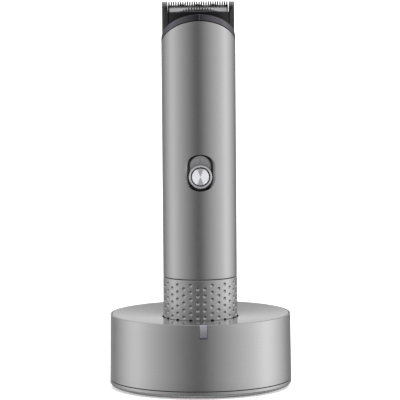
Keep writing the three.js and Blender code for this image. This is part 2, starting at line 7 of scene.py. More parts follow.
import bmesh
import bpy
import numpy as np
from mathutils import Matrix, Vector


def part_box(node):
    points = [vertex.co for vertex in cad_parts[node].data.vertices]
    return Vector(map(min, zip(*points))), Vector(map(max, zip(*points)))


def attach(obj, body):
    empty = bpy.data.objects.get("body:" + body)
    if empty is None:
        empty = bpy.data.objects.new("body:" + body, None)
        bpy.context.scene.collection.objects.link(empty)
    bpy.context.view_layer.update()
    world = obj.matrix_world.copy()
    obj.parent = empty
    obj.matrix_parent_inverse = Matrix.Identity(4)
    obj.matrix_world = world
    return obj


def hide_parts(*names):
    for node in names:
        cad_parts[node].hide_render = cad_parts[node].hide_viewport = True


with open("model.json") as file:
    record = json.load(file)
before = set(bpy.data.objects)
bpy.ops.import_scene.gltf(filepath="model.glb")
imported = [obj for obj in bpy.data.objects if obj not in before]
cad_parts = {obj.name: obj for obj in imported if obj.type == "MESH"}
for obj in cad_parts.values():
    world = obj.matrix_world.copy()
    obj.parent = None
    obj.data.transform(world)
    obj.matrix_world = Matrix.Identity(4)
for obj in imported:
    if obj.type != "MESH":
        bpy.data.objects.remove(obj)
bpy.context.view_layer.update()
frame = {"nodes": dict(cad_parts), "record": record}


# ------------------------------------------------------------ camera and studio
# A long lens looks slightly down at the groomer from the front, a little left of its centre line.

CAMERA_AZIMUTH = math.radians(-1.8)
CAMERA_PITCH = math.radians(5.82)
CAMERA_ROLL = math.radians(0.44)
CAMERA_DISTANCE = 1.6
CAMERA_HEIGHT = 0.26224
CAMERA_ASIDE = 0.00026
LENS_MM = 273.5

camera_data = bpy.data.cameras.new("camera")
camera_data.lens = LENS_MM
camera_data.sensor_width = 36
camera = bpy.data.objects.new("camera", camera_data)
bpy.context.scene.collection.objects.link(camera)
bpy.context.scene.camera = camera
camera.location = (
    CAMERA_DISTANCE * math.sin(CAMERA_AZIMUTH) + CAMERA_ASIDE,
    -CAMERA_DISTANCE * math.cos(CAMERA_AZIMUTH),
    CAMERA_HEIGHT,
)
camera.rotation_euler = (
    Matrix.Rotation(CAMERA_AZIMUTH, 3, "Z")
    @ Matrix.Rotation(math.pi / 2 - CAMERA_PITCH, 3, "X")
    @ Matrix.Rotation(-CAMERA_ROLL, 3, "Z")
).to_euler()
bpy.context.scene.view_settings.view_transform = "Standard"


class Link:
    """A shader socket's value, which plain expressions can add, subtract, multiply and divide."""

    def __init__(self, tree, socket):
        self.tree = tree
        self.socket = socket

    def maths(self, operation, *others, swapped=False):
        node = self.tree.nodes.new("ShaderNodeMath")
        node.operation = operation
        values = [*others, self] if swapped else [self, *others]
        for slot, value in zip(node.inputs, values):
            plug(self.tree, slot, value)
        return Link(self.tree, node.outputs[0])

    def __add__(self, other):
        return self.maths("ADD", other)

    __radd__ = __add__

    def __sub__(self, other):
        return self.maths("SUBTRACT", other)

    def __rsub__(self, other):
        return self.maths("SUBTRACT", other, swapped=True)

    def __mul__(self, other):
        return self.maths("MULTIPLY", other)

    __rmul__ = __mul__

    def __truediv__(self, other):
        return self.maths("DIVIDE", other)


def plug(tree, slot, value):
    """Joins a Link to a socket, or sets the socket to a number, colour or vector."""
    if isinstance(value, Link):
        tree.links.new(value.socket, slot)
    elif isinstance(value, (tuple, list)) and slot.type == "RGBA" and len(value) == 3:
        slot.default_value = (*value, 1.0)
    else:
        slot.default_value = value


class Shader:
    """A node tree that hands out nodes."""

    def __init__(self, tree):
        self.tree = tree

    def node(self, kind, settings=None, sockets=None, output=0):
        """One node: its settings are set first, then its sockets, by name or by number."""
        made = self.tree.nodes.new(kind)
        for key, value in (settings or {}).items():
            if key == "stops":
                ramp = made.color_ramp
                while len(ramp.elements) > 1:
                    ramp.elements.remove(ramp.elements[-1])
                ramp.elements[0].position, ramp.elements[0].color = value[0][0], grey(value[0][1])
                for place, tone in value[1:]:
                    ramp.elements.new(place).color = grey(tone)
            else:
                setattr(made, key, value)
        for key, value in (sockets or {}).items():
            plug(self.tree, made.inputs[key], value)
        return Link(self.tree, made.outputs[output]) if len(made.outputs) else made

    def split(self, vector):
        """The x, y and z of a vector."""
        made = self.tree.nodes.new("ShaderNodeSeparateXYZ")
        plug(self.tree, made.inputs[0], vector)
        return [Link(self.tree, socket) for socket in made.outputs]


def grey(tone):
    """A colour with alpha from one number or three."""
    return (tone, tone, tone, 1.0) if isinstance(tone, (int, float)) else (*tone, 1.0)


# The light tent is a band of light round the horizon, brightest at both sides. Directions are
# counted as turns from behind the groomer, so 0.5 is the camera's side and 0.25 and 0.75 its sides.
BAND = [
    (0.00, 0.50),
    (0.055, 0.42),
    (0.09, 0.27),
    (0.10, 0.27),
    (0.17, 0.72),
    (0.24, 1.16),
    (0.30, 0.84),
    (0.36, 0.60),
    (0.45, 0.27),
    (0.487, 0.15),
    (0.50, 0.17),
    (0.54, 0.40),
    (0.64, 0.84),
    (0.70, 1.06),
    (0.75, 1.46),
    (0.83, 0.86),
    (0.90, 0.28),
    (1.00, 0.24),
]
BACKDROP = 0.82  # behind the groomer, above the level of its stand
TENT_ROOF = 0.7
TENT_FLOOR = 0.3  # share of the band that is left well below the horizon

world = bpy.data.worlds.new("studio")
world.use_nodes = True
world.node_tree.nodes.clear()
bpy.context.scene.world = world
sky = Shader(world.node_tree)
toward = sky.node("ShaderNodeTexCoord")
east, north, height = sky.split(toward)
turn = east.maths("ARCTAN2", north * -1.0) / (2 * math.pi) + 0.5
band = sky.node("ShaderNodeValToRGB", {"stops": BAND}, {"Fac": turn})
roof = sky.node("ShaderNodeMapRange", {"interpolation_type": "SMOOTHSTEP"},
                {"Value": height, "From Min": 0.25, "From Max": 0.8})
behind = sky.node("ShaderNodeMapRange", {"interpolation_type": "SMOOTHSTEP"},
                  {"Value": north, "From Min": 0.45, "From Max": 0.75})
above = sky.node("ShaderNodeMapRange", {"interpolation_type": "LINEAR"},
                 {"Value": height, "From Min": -0.02, "From Max": 0.06})
aloft = sky.node("ShaderNodeMapRange", {"interpolation_type": "SMOOTHSTEP"},
                 {"Value": height, "From Min": 0.06, "From Max": 0.3})
band = sky.node("ShaderNodeMix", {"data_type": "RGBA"},
                {0: behind * above * (1 - 0.7 * aloft), 6: band, 7: (BACKDROP,) * 3}, output=2)
tent = sky.node("ShaderNodeMix", {"data_type": "RGBA"}, {0: roof, 6: band, 7: (TENT_ROOF,) * 3}, output=2)
below = sky.node("ShaderNodeMapRange", {"interpolation_type": "SMOOTHSTEP"},
                 {"Value": height, "From Min": -0.15, "From Max": -0.6})
lit = sky.node("ShaderNodeBackground", None, {"Color": tent, "Strength": 1 - below * (1 - TENT_FLOOR)})
seen = sky.node("ShaderNodeBackground", None, {"Color": (1.0, 1.0, 1.0), "Strength": 1.0})
is_camera = sky.node("ShaderNodeLightPath")
both = sky.node("ShaderNodeMixShader", None, {0: is_camera, 1: lit, 2: seen})
sky.node("ShaderNodeOutputWorld", None, {"Surface": both})

overhead_data = bpy.data.lights.new("overhead", "SUN")
overhead_data.energy = 2.4
overhead_data.angle = math.radians(70)
overhead = bpy.data.objects.new("overhead", overhead_data)
overhead.rotation_euler = (math.radians(12), math.radians(8), 0)
overhead.visible_glossy = False
bpy.context.scene.collection.objects.link(overhead)


class Finish(Shader):
    """A surface finish: one material with a Principled shader, on Object coordinates in metres."""

    def __init__(self, name, colour, roughness, metallic=0.0, **constants):
        self.material = bpy.data.materials.new(name)
        self.material.use_nodes = True
        super().__init__(self.material.node_tree)
        self.surface = next(n for n in self.tree.nodes if n.type == "BSDF_PRINCIPLED")
        self.feed("Base Color", colour)
        self.feed("Roughness", roughness)
        self.feed("Metallic", metallic)
        for key, value in constants.items():
            self.feed(key.replace("_", " ").title().replace("Ior", "IOR"), value)
        self.place = self.node("ShaderNodeTexCoord", output=3)

    def feed(self, slot, value):
        plug(self.tree, self.surface.inputs[slot], value)

    def stretched(self, x, y, z):
        """Object coordinates scaled along each axis."""
        return self.node("ShaderNodeMapping", None, {"Vector": self.place, "Scale": (x, y, z)})

    def noise(self, scale, detail=2.0, vector=None, roughness=0.5):
        """Noise from 0 to 1; its scale is the number of lumps in a metre."""
        return self.node("ShaderNodeTexNoise", None, {
            "Vector": vector or self.place, "Scale": scale, "Detail": detail, "Roughness": roughness})

    def between(self, amount, first, second):
        """A colour mixed from two."""
        return self.node("ShaderNodeMix", {"data_type": "RGBA"}, {0: amount, 6: first, 7: second}, output=2)

    def scaled(self, colour, amount):
        """A colour times a number."""
        return self.node("ShaderNodeVectorMath", {"operation": "SCALE"}, {0: colour, "Scale": amount})

    def step(self, value, low, high):
        """0 below low and 1 above high, smooth between."""
        return self.node("ShaderNodeMapRange", {"interpolation_type": "SMOOTHSTEP"},
                         {"Value": value, "From Min": low, "From Max": high})

    def bump(self, height, distance, strength=1.0):
        """Relief of that many metres for a height from 0 to 1."""
        relief = self.node("ShaderNodeBump", None, {
            "Height": height, "Distance": distance, "Strength": strength})
        self.feed("Normal", relief)


paper = Finish("floor_paper", (0.93, 0.93, 0.93), 0.9,
               emission_color=(1.0, 1.0, 1.0), emission_strength=0.4)
paper.bump(paper.noise(900, 3), 0.00005, 0.4)
FLOOR_HALF = 6.0
floor_mesh = bpy.data.meshes.new("floor")
floor_mesh.from_pydata(
    [(-FLOOR_HALF, -FLOOR_HALF, 0), (FLOOR_HALF, -FLOOR_HALF, 0),
     (FLOOR_HALF, FLOOR_HALF, 0), (-FLOOR_HALF, FLOOR_HALF, 0)],
    [], [(0, 1, 2, 3)])
floor_mesh.materials.append(paper.material)
floor = bpy.data.objects.new("floor", floor_mesh)
bpy.context.scene.collection.objects.link(floor)
floor.visible_glossy = False


# ------------------------------------------------------------ stand: drum wall
# The drum is a deep-drawn shell with a satin gunmetal finish. A thin lip at its top holds the lid,
# a notch in front takes the indicator lens, and a slot at the back clears the charging inlet.

def corners(node):
    """A node's lowest and highest corner, in millimetres."""
    low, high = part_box(node)
    return np.array(low) * 1000, np.array(high) * 1000


def rounded(points, radii, steps=5):
    """A closed outline whose corners are replaced by curves that leave both sides smoothly.

    Each curve is (1-t)^2 start + 2t(1-t) corner + t^2 end, where start and end lie on the two
    sides at radius / tan(half the corner's angle) from the corner.
    """
    points = np.asarray(points, float)
    made = []
    for i, radius in enumerate(radii):
        here = points[i]
        if radius <= 0:
            made.append(here[None])
            continue
        back = points[i - 1] - here
        on = points[(i + 1) % len(points)] - here
        reach = min(np.linalg.norm(back), np.linalg.norm(on)) * 0.49
        back, on = back / np.linalg.norm(back), on / np.linalg.norm(on)
        half = math.acos(np.clip(back @ on, -1, 1)) / 2
        cut = min(radius / math.tan(half), reach)
        t = np.linspace(0, 1, steps + 1)[:, None]
        start, end = here + back * cut, here + on * cut
        made.append((1 - t) ** 2 * start + 2 * t * (1 - t) * here + t ** 2 * end)
    return np.concatenate(made)


def filled(outline, spacing):
    """The same closed outline with extra points, so that no side is longer than spacing."""
    made = []
    for start, end in zip(outline, np.roll(outline, -1, 0)):
        count = max(1, math.ceil(np.linalg.norm(end - start) / spacing))
        made.append(start + (end - start) * (np.arange(count) / count)[:, None])
    return np.concatenate(made)


def grid_faces(rows, columns, wrap_rows=True, wrap_columns=True):
    """The quads between neighbours of a grid of points, each way round where it wraps."""
    i, j = np.meshgrid(
        np.arange(rows if wrap_rows else rows - 1),
        np.arange(columns if wrap_columns else columns - 1), indexing="ij")
    up, on = (i + 1) % rows, (j + 1) % columns
    quads = [i * columns + j, i * columns + on, up * columns + on, up * columns + j]
    return np.stack(quads, -1).reshape(-1, 4)


def around(profile, segments):
    """Points [radius, z] carried round the Z axis, as a grid."""
    angle = np.linspace(0, 2 * math.pi, segments, endpoint=False)
    r, z = profile[:, None, 0], profile[:, None, 1]
    return np.stack([r * np.sin(angle), -r * np.cos(angle), z + 0 * angle], -1)


MERGE = 0.003


def build(name, parts, body, replaces=(), finish=None, smooth=35, place=None):
    """Joins grids or prisms of millimetre points into one closed mesh that rides on a body."""
    count, points, faces = 0, [], []
    for part_points, part_faces in parts:
        part_points = np.asarray(part_points, float).reshape(-1, 3)
        points.append(part_points)
        faces += [[corner + count for corner in face] for face in part_faces]
        count += len(part_points)
    points = np.concatenate(points)
    if place is not None:
        points = place(points)
    mesh = bpy.data.meshes.new(name)
    mesh.from_pydata(points.tolist(), [], faces)
    work = bmesh.new()
    work.from_mesh(mesh)
    bmesh.ops.remove_doubles(work, verts=work.verts, dist=MERGE)
    bmesh.ops.dissolve_degenerate(work, edges=work.edges, dist=1e-4)
    bmesh.ops.recalc_face_normals(work, faces=work.faces)
    bmesh.ops.scale(work, vec=(0.001, 0.001, 0.001), verts=work.verts)
    work.to_mesh(mesh)
    work.free()
    mesh.shade_smooth()
    mesh.set_sharp_from_angle(angle=math.radians(smooth))
    made = bpy.data.objects.new(name, mesh)
    bpy.context.scene.collection.objects.link(made)
    if finish is not None:
        mesh.materials.append(finish.material)
    if body is not None:
        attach(made, body)
        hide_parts(*replaces)
    return made


def ring_part(points, radii, segments=256, steps=5, spacing=None):
    """A rounded half section of [radius, z] turned round the Z axis."""
    profile = rounded(points, radii, steps)
    if spacing:
        profile = filled(profile, spacing)
    return around(profile, segments), grid_faces(len(profile), segments)


def prism_part(outline, low, high, along):
    """A flat outline given a thickness along x, y or z, with a flat face at each end."""
    outline = np.asarray(outline, float)
    ends = []
    for depth in (low, high):
        extra = np.full(len(outline), float(depth))
        ends.append(np.stack({
            "x": (extra, outline[:, 0], outline[:, 1]),
            "y": (outline[:, 0], extra, outline[:, 1]),
            "z": (outline[:, 0], outline[:, 1], extra),
        }[along], -1))
    count = len(outline)
    faces = grid_faces(2, count, wrap_rows=False).tolist()
    return np.concatenate(ends), faces + [list(range(count))[::-1], list(range(count, 2 * count))]


def tool(name, outline, low, high, along, place=None):
    """A prism that only serves to cut or trim."""
    return build(name, [prism_part(outline, low, high, along)], None, place=place)


def machine(piece, cutters, keep=(), add=(), smooth=35):
    """Cuts the cutters out of a piece, keeps what lies inside the keep shapes, and joins the add shapes."""
    steps = [("DIFFERENCE", c) for c in cutters] + [("INTERSECT", k) for k in keep]
    steps = [("UNION", a) for a in add] + steps
    for operation, other in steps:
        modifier = piece.modifiers.new(operation, "BOOLEAN")
        modifier.operation = operation
        modifier.solver = "EXACT"
        modifier.object = other
    shaped = bpy.data.meshes.new_from_object(
        piece.evaluated_get(bpy.context.evaluated_depsgraph_get()))
    piece.modifiers.clear()
    material = piece.data.materials[0] if piece.data.materials else None
    piece.data = shaped
    shaped.materials.clear()
    if material:
        shaped.materials.append(material)
    shaped.name = piece.name
    shaped.shade_smooth()
    shaped.set_sharp_from_angle(angle=math.radians(smooth))
    for operation, other in steps:
        bpy.data.objects.remove(other)
    return piece


def soften(piece, width, segments=2, angle=30):
    """A fine bevel, in millimetres, on every edge sharper than the angle."""
    bevel = piece.modifiers.new("softened_edges", "BEVEL")
    bevel.width = width * 0.001
    bevel.segments = segments
    bevel.limit_method = "ANGLE"
    bevel.angle_limit = math.radians(angle)
    bevel.harden_normals = True
    return piece


def circle(radius, x=0.0, y=0.0, count=48):
    """A round outline."""
    angle = np.linspace(0, 2 * math.pi, count, endpoint=False)
    return np.stack([x + radius * np.cos(angle), y + radius * np.sin(angle)], -1)


def rectangle(x0, x1, y0, y1):
    """A rectangular outline."""
    return np.array([(x0, y0), (x1, y0), (x1, y1), (x0, y1)], float)


def obround(width, height, x=0.0, z=0.0, end=None, count=96):
    """An upright slot outline. Its ends are half ellipses, end high, or half circles."""
    half = width / 2
    end = half if end is None else end
    angle = np.linspace(0, 2 * math.pi, count, endpoint=False) + math.pi / count
    arm = np.sign(np.sin(angle)) * (height / 2 - end)
    return np.stack([x + half * np.cos(angle), z + end * np.sin(angle) + arm], -1)


# How much darker painted shade makes what faces down in the grip's dimples.
PAINTED_UNDERSIDE_SHADE = 0.62


def satin(name, colour, roughness, brushed, painted_shade=False):
    """Blasted metallic coating: fine grain in tone, gloss and relief, and faint turning lines.

    Where painted shade is asked for, what faces down is painted darker from a per-point attribute: painted
    shade under the upper lip of each dimple.
    """
    finish = Finish(name, colour, roughness, metallic=1.0)
    grain = finish.noise(5200, 2)
    patch = finish.noise(420, 3)
    lines = finish.noise(1.0, 4, finish.stretched(60, 60, 5200))
    tone = grain * 0.10 + patch * 0.05 + lines * (0.16 * brushed) + (0.925 - 0.08 * brushed)
    if painted_shade:
        # Painted shade: points that face down are painted darker.
        underside = finish.node("ShaderNodeAttribute", {"attribute_name": "underside"}, output=2)
        tone = tone * (1 - PAINTED_UNDERSIDE_SHADE * underside)
    finish.feed("Base Color", finish.scaled(colour, tone))
    finish.feed("Roughness", grain * 0.10 + patch * 0.06 + lines * (0.08 * brushed) + (roughness - 0.09))
    finish.bump(grain * 0.7 + lines * (0.5 * brushed), 0.00003, 0.35)
    return finish


SATIN_COLOUR = (0.475, 0.475, 0.48)
STAND_COLOUR = tuple(1.13 * part for part in SATIN_COLOUR)
body_satin = satin("satin_gunmetal", SATIN_COLOUR, 0.30, brushed=0.2)
stand_satin = satin("satin_gunmetal_turned", STAND_COLOUR, 0.28, brushed=0.8)

wall_low, wall_high = corners("base_wall")
_, lid_high = corners("base_top_plate")
pan_low, pan_high = corners("base_pan")
lens_low, lens_high = corners("indicator_lens")
inlet_low, inlet_high = corners("usb_inlet")
GAP = 0.3
DRUM_FOOT_R = wall_high[0]
DRUM_TOP_R = DRUM_FOOT_R - 0.4
DRUM_IN_R = DRUM_FOOT_R - 2.4
LIP_IN_R = lid_high[0] + 0.24
LID_T = 2.0
LEDGE_Z = lid_high[2] - LID_T - GAP
LENS_FOOT_Z = 32.1

drum = build("stand_drum", [ring_part(
    [(DRUM_IN_R, wall_low[2]), (DRUM_FOOT_R, wall_low[2]), (DRUM_TOP_R, wall_high[2]),
     (LIP_IN_R, wall_high[2]), (LIP_IN_R, LEDGE_Z), (DRUM_IN_R, LEDGE_Z)],
    [0.2, 0.3, 0.3, 0.12, 0, 0.2], spacing=6)],
    "base", ["base_wall"], stand_satin)
lens_half = lens_high[0] + GAP / 2
inlet_z = (inlet_low[2] + inlet_high[2]) / 2
machine(drum, [
    tool("notch", rectangle(-lens_half, lens_half, -50, -44), LENS_FOOT_Z - GAP, 45, "z"),
    tool("slot", obround(4.2, 10.0)[:, ::-1] + [0, inlet_z], 43, 50, "y"),
])


# ------------------------------------------------------------ stand: lid
# The lid is a turned disc with a semi-bright finish, dished a little towards its hole. It drops
# inside the drum's lip, and the hole leaves a narrow ring of shadow round the handpiece.

LID_COLOUR = (0.50, 0.50, 0.505)
lid_finish = satin("lid_semi_bright", LID_COLOUR, 0.135, brushed=0.5)
WELL_R = 20.3
LID_DISH = 1.75


def dished(points):
    """Sinks the lid towards the well: z - dish (R - r) / (R - well), where R is its edge."""
    points = points.copy()
    inward = (lid_high[0] - np.hypot(points[:, 0], points[:, 1])) / (lid_high[0] - WELL_R)
    points[:, 2] -= LID_DISH * inward
    return points


lid = build("stand_lid", [ring_part(
    [(WELL_R, lid_high[2] - LID_T), (lid_high[0], lid_high[2] - LID_T), (lid_high[0], lid_high[2]),
     (WELL_R, lid_high[2])],
    [0.1, 0.1, 0.2, 0.2], spacing=1.2)],
    "base", ["base_top_plate"], lid_finish, place=dished)
machine(lid, [tool("notch", rectangle(-lens_half, lens_half, -50, -45.75), 30, 45, "z")])


# ------------------------------------------------------------ stand: pan, foot ring and well
# The pan closes the drum from below: a metal band above a rounded moulded edge. A soft ring under
# it stops the stand from sliding, and the moulded well in the middle holds the handpiece upright.

BAND_LOW = 2.35
pan_finish = Finish("pan_band_and_edge", SATIN_COLOUR, 0.32, metallic=1.0)
band = pan_finish.step(pan_finish.split(pan_finish.place)[2], 0.00228, 0.00236)
pan_grain = pan_finish.noise(4000, 3)
pan_finish.feed("Base Color", pan_finish.between(
    band, (0.18, 0.18, 0.185), pan_finish.scaled((0.50, 0.50, 0.505), pan_grain * 0.2 + 0.9)))
pan_finish.feed("Roughness", pan_grain * 0.08 + (band * -0.2 + 0.50))
pan_finish.feed("Metallic", band)
pan_finish.bump(pan_grain, 0.00003, 0.5)
build("stand_pan", [ring_part(
    [(0.4, pan_low[2]), (37.3, pan_low[2]), (44.4, 0.35), (47.3, 1.3), (pan_high[0] - 0.15, BAND_LOW),
     (pan_high[0], BAND_LOW + 0.1), (pan_high[0], pan_high[2]), (46.2, pan_high[2]), (46.2, 3.0),
     (0.4, 3.0)],
    [0, 1, 0.8, 1.2, 0.05, 0.05, 0.2, 0.2, 0, 0], spacing=6),
    prism_part(circle(0.4, count=256), pan_low[2], 3.0, "z")],
    "base", ["base_pan"], pan_finish)

rubber = Finish("soft_rubber", (0.02, 0.02, 0.021), 0.75)
rubber_grain = rubber.noise(2600, 4)
rubber.feed("Base Color", rubber.scaled((0.021, 0.021, 0.022), rubber_grain * 0.8 + 0.6))
rubber.feed("Roughness", rubber_grain * 0.2 + 0.65)
rubber.bump(rubber_grain, 0.00006, 0.6)
foot_low, foot_high = corners("foot_ring")
build("foot_ring_soft", [ring_part(
    [(31, foot_low[2]), (foot_high[0], foot_low[2]), (foot_high[0], foot_high[2]), (31, foot_high[2])],
    [0.4, 0.4, 0, 0])],
    "base", ["foot_ring"], rubber)

black_plastic = Finish("moulded_black", (0.018, 0.018, 0.019), 0.45)
speck = black_plastic.noise(3800, 3)
black_plastic.feed("Base Color", black_plastic.scaled((0.018, 0.018, 0.019), speck * 0.5 + 0.75))
black_plastic.feed("Roughness", speck * 0.16 + 0.38)
black_plastic.bump(speck, 0.00004, 0.5)
cup_low, cup_high = corners("socket_cup")
CUP_OUT_R = WELL_R + 1.6
WELL_FLOOR = 16.0
cup = build("socket_well", [ring_part(
    [(0.5, cup_low[2]), (CUP_OUT_R, cup_low[2]), (CUP_OUT_R, cup_high[2] - 1.6),
     (cup_high[0], cup_high[2] - 1.6), (cup_high[0], cup_high[2]), (WELL_R, cup_high[2]),
     (WELL_R, WELL_FLOOR), (0.5, WELL_FLOOR)],
    [0, 0.5, 0.5, 0.3, 0.3, 0.5, 1.0, 0], spacing=6),
    prism_part(circle(0.5, count=256), cup_low[2], WELL_FLOOR, "z")],
    "base", ["socket_cup"], black_plastic)
machine(cup, [tool("pin_hole", circle(1.5, side * 6.0), 10, 20, "z") for side in (-1, 1)])


# ------------------------------------------------------------ stand: indicator lens
# A milky lilac-grey lens wraps over the drum's top edge. It is painted lighter towards its top, as painted
# light falling from above. Its face turns in at the bottom, and a light pipe runs from it down to the
# lamp on the circuit board.

lens_finish = Finish("milky_lens", (0.42, 0.40, 0.46), 0.22, coat_weight=0.6, coat_roughness=0.08)
lens_height = lens_finish.split(lens_finish.place)[2]
haze = lens_finish.noise(700, 2)
# Painted light: the lens is painted lighter from 33.5 mm up to its top, where light from above falls on it.
painted_top_light = lens_finish.step(lens_height, 0.0335, 0.0392)
lens_finish.feed("Base Color", lens_finish.between(
    painted_top_light * 0.75 + haze * 0.2, (0.125, 0.118, 0.14), (0.27, 0.262, 0.29)))
lens_finish.feed("Roughness", haze * 0.1 + 0.18)
lens_face_y = lens_low[1]
LENS_BACK_Y = -46.05
lens_profile = rounded(
    [(lens_face_y, 33.6), (lens_face_y + 0.4, LENS_FOOT_Z), (LENS_BACK_Y, LENS_FOOT_Z),
     (LENS_BACK_Y, lens_high[2]), (lens_face_y + 0.2, lens_high[2])],
    [0.25, 0.2, 0, 0.2, 0.7])
lens = build("indicator_window", [prism_part(lens_profile, lens_low[0], lens_high[0], "x")],
             "base", ["indicator_lens"], lens_finish)
machine(lens, [], add=[
    tool("stub", rectangle(-1.2, 1.2, -47.0, -42.4), LENS_FOOT_Z + 0.02, 36.0, "z"),
    tool("pipe", rectangle(-1.2, 1.2, -44.8, -42.42), lens_low[2], 35.98, "z"),
])
soften(lens, 0.3, segments=3)


# ------------------------------------------------------------ handpiece: tail cap and grip sleeve
# The tail cap closes the handpiece and lets the charging contacts through. The grip sleeve above it
# is rolled metal with rows of round dimples, staggered from one column to the next.

tail_low, tail_high = corners("tail_cap")
grip_low, grip_high = corners("grip_sleeve")
TUBE_R = 19.55
TUBE_IN = TUBE_R - 1.2
tail = build("tail_cap_moulded", [ring_part(
    [(0.5, tail_low[2]), (tail_high[0] - 1, tail_low[2]), (tail_high[0], tail_low[2] + 1),
     (tail_high[0], grip_low[2] - GAP), (TUBE_IN - GAP, grip_low[2] - GAP), (TUBE_IN - GAP, tail_high[2]),
     (16.4, tail_high[2]), (16.4, 18.4), (0.5, 18.4)],
    [0, 0.6, 0.5, 0.2, 0, 0.2, 0.2, 0.3, 0], spacing=6),
    prism_part(circle(0.5, count=256), tail_low[2], 18.4, "z")],
    "handpiece", ["tail_cap"], black_plastic)
machine(tail, [tool("contact_hole", circle(2.8, side * 6.0), 10, 19.5, "z") for side in (-1, 1)])

COLUMN_STEP = math.radians(11.25)
ROW_STEP = 3.77
FIRST_ROW = (53.95, 55.9)
DIMPLE_R = 0.86
DIMPLE_DEPTH = 0.5


def dimpled(angle, z):
    """Depth of the dimples: depth (1 - d^2/r^2) inside a dimple, d from the nearest centre.

    Columns stand at odd multiples of half a step, and every second one is half a row lower.
    """
    column = np.floor(np.abs(angle) / COLUMN_STEP)
    sideways = (np.abs(angle) - (column + 0.5) * COLUMN_STEP) * TUBE_R
    first = np.where(column % 2 == 0, FIRST_ROW[0], FIRST_ROW[1])
    row = np.maximum(np.round((first - z) / ROW_STEP), 0)
    upward = z - (first - row * ROW_STEP)
    reach = (sideways ** 2 + upward ** 2) / DIMPLE_R ** 2
    crisp = np.clip(1 - reach, 0, 1)
    return DIMPLE_DEPTH * crisp ** 0.8 * (z > grip_low[2] + 1.2)


GRIP_SEGMENTS = 528
grip_edge = 0.22
grip_angle = np.linspace(-math.pi, math.pi, GRIP_SEGMENTS, endpoint=False)
grip_heights = np.linspace(grip_low[2] + grip_edge, grip_high[2] - grip_edge, 172)
outer_radius = grip_high[0] - dimpled(grip_angle[None, :], grip_heights[:, None])
rim = np.array([(grip_high[0] - grip_edge, grip_high[2]), (TUBE_IN, grip_high[2]),
                (TUBE_IN, (grip_low[2] + grip_high[2]) / 2),
                (TUBE_IN, grip_low[2]), (grip_high[0] - grip_edge, grip_low[2])])
grip_r = np.concatenate([outer_radius, np.repeat(rim[:, :1], GRIP_SEGMENTS, 1)])
grip_z = np.concatenate([grip_heights, rim[:, 1]])[:, None] + 0 * grip_angle
grip_points = np.stack([grip_r * np.sin(grip_angle), -grip_r * np.cos(grip_angle), grip_z], -1)
grip_satin = satin("satin_gunmetal_grip", SATIN_COLOUR, 0.30, brushed=0.2, painted_shade=True)
grip = build("grip_sleeve_dimpled", [(grip_points, grid_faces(len(grip_z), GRIP_SEGMENTS))],
             "handpiece", ["grip_sleeve"], grip_satin, smooth=50)
# Painted shade: each point's share of facing down is stored so that the grip's finish paints the upper half
# of each dimple darker.
facing = np.empty(len(grip.data.vertices) * 3)
grip.data.vertices.foreach_get("normal", facing)
grip.data.attributes.new("underside", "FLOAT", "POINT").data.foreach_set(
    "value", np.clip(-2.2 * facing[2::3], 0, 1).astype(np.float32))


# ------------------------------------------------------------ handpiece: casing tube and collar
# The casing is a drawn metal tube in the same satin finish, cut off at a slant at the top. Its slot
# for the switch is relieved along both sides. A darker bright-finished collar caps the slant.

SLANT = math.tan(math.radians(34))
CUT_Z = 181.4
casing_low, _ = corners("casing_tube")
switch_low, switch_high = corners("switch_bezel")
SWITCH_Z = (switch_low[2] + switch_high[2]) / 2
STRAIGHT_Z = 140


def slanted(points):
    """Moves points onto the slant: z - y tan(34 deg), growing from nothing at STRAIGHT_Z."""
    share = np.clip((points[:, 2] - STRAIGHT_Z) / (CUT_Z - STRAIGHT_Z), 0, 1)
    points = points.copy()
    points[:, 2] -= points[:, 1] * SLANT * share
    return points


casing = build("casing_shell", [ring_part(
    [(TUBE_IN, casing_low[2]), (TUBE_R, casing_low[2]), (TUBE_R, STRAIGHT_Z), (TUBE_R, CUT_Z),
     (TUBE_IN, CUT_Z), (TUBE_IN, STRAIGHT_Z)],
    [0, 0.25, 0, 0.22, 0, 0], segments=288, spacing=2.2)],
    "handpiece", ["casing_tube"], body_satin, place=slanted)
OPENING_W = switch_high[0] * 2 + 2 * GAP
OPENING_H = switch_high[2] - switch_low[2] + 2 * GAP
RELIEF_W = 15.9
levels = [(RELIEF_W, -25.0), (RELIEF_W, -17.9), (OPENING_W, -17.45), (OPENING_W, -12.0)]
relief = np.concatenate([
    np.insert(obround(width, OPENING_H, 0, SWITCH_Z, end=OPENING_W / 2, count=128), 1, depth, axis=1)
    for width, depth in levels])
relief_faces = grid_faces(4, 128, wrap_rows=False).tolist()
relief_faces += [list(range(128))[::-1], list(range(384, 512))]
machine(casing, [build("relief", [(relief, relief_faces)], None)])

collar_finish = Finish("smoked_bright_collar", (0.20, 0.19, 0.215), 0.2, metallic=1.0)
collar_x, collar_y, _ = collar_finish.split(collar_finish.place)
smoke = collar_finish.noise(900, 3, collar_finish.stretched(1, 1, 4))
mark = (collar_finish.step(collar_x.maths("ABSOLUTE"), 0.00021, 0.00013)
        * collar_finish.step(collar_y, -0.0180, -0.0185))
collar_finish.feed("Base Color", collar_finish.between(
    mark, collar_finish.scaled((0.118, 0.113, 0.128), smoke * 0.3 + 0.85), (0.42, 0.42, 0.44)))
collar_finish.feed("Roughness", smoke * 0.06 + 0.06)
COLLAR_LOW = CUT_Z + GAP
COLLAR_TOP = 185.2
build("head_collar", [ring_part(
    [(TUBE_IN - 0.2, COLLAR_LOW), (TUBE_R, COLLAR_LOW), (TUBE_R, COLLAR_TOP), (TUBE_IN - 0.2, COLLAR_TOP)],
    [0, 0.25, 0.9, 0.2], segments=288, spacing=1.5)],
    "handpiece", ["collar"], collar_finish,
    place=lambda p: np.stack([p[:, 0], p[:, 1], p[:, 2] - p[:, 1] * SLANT], -1))
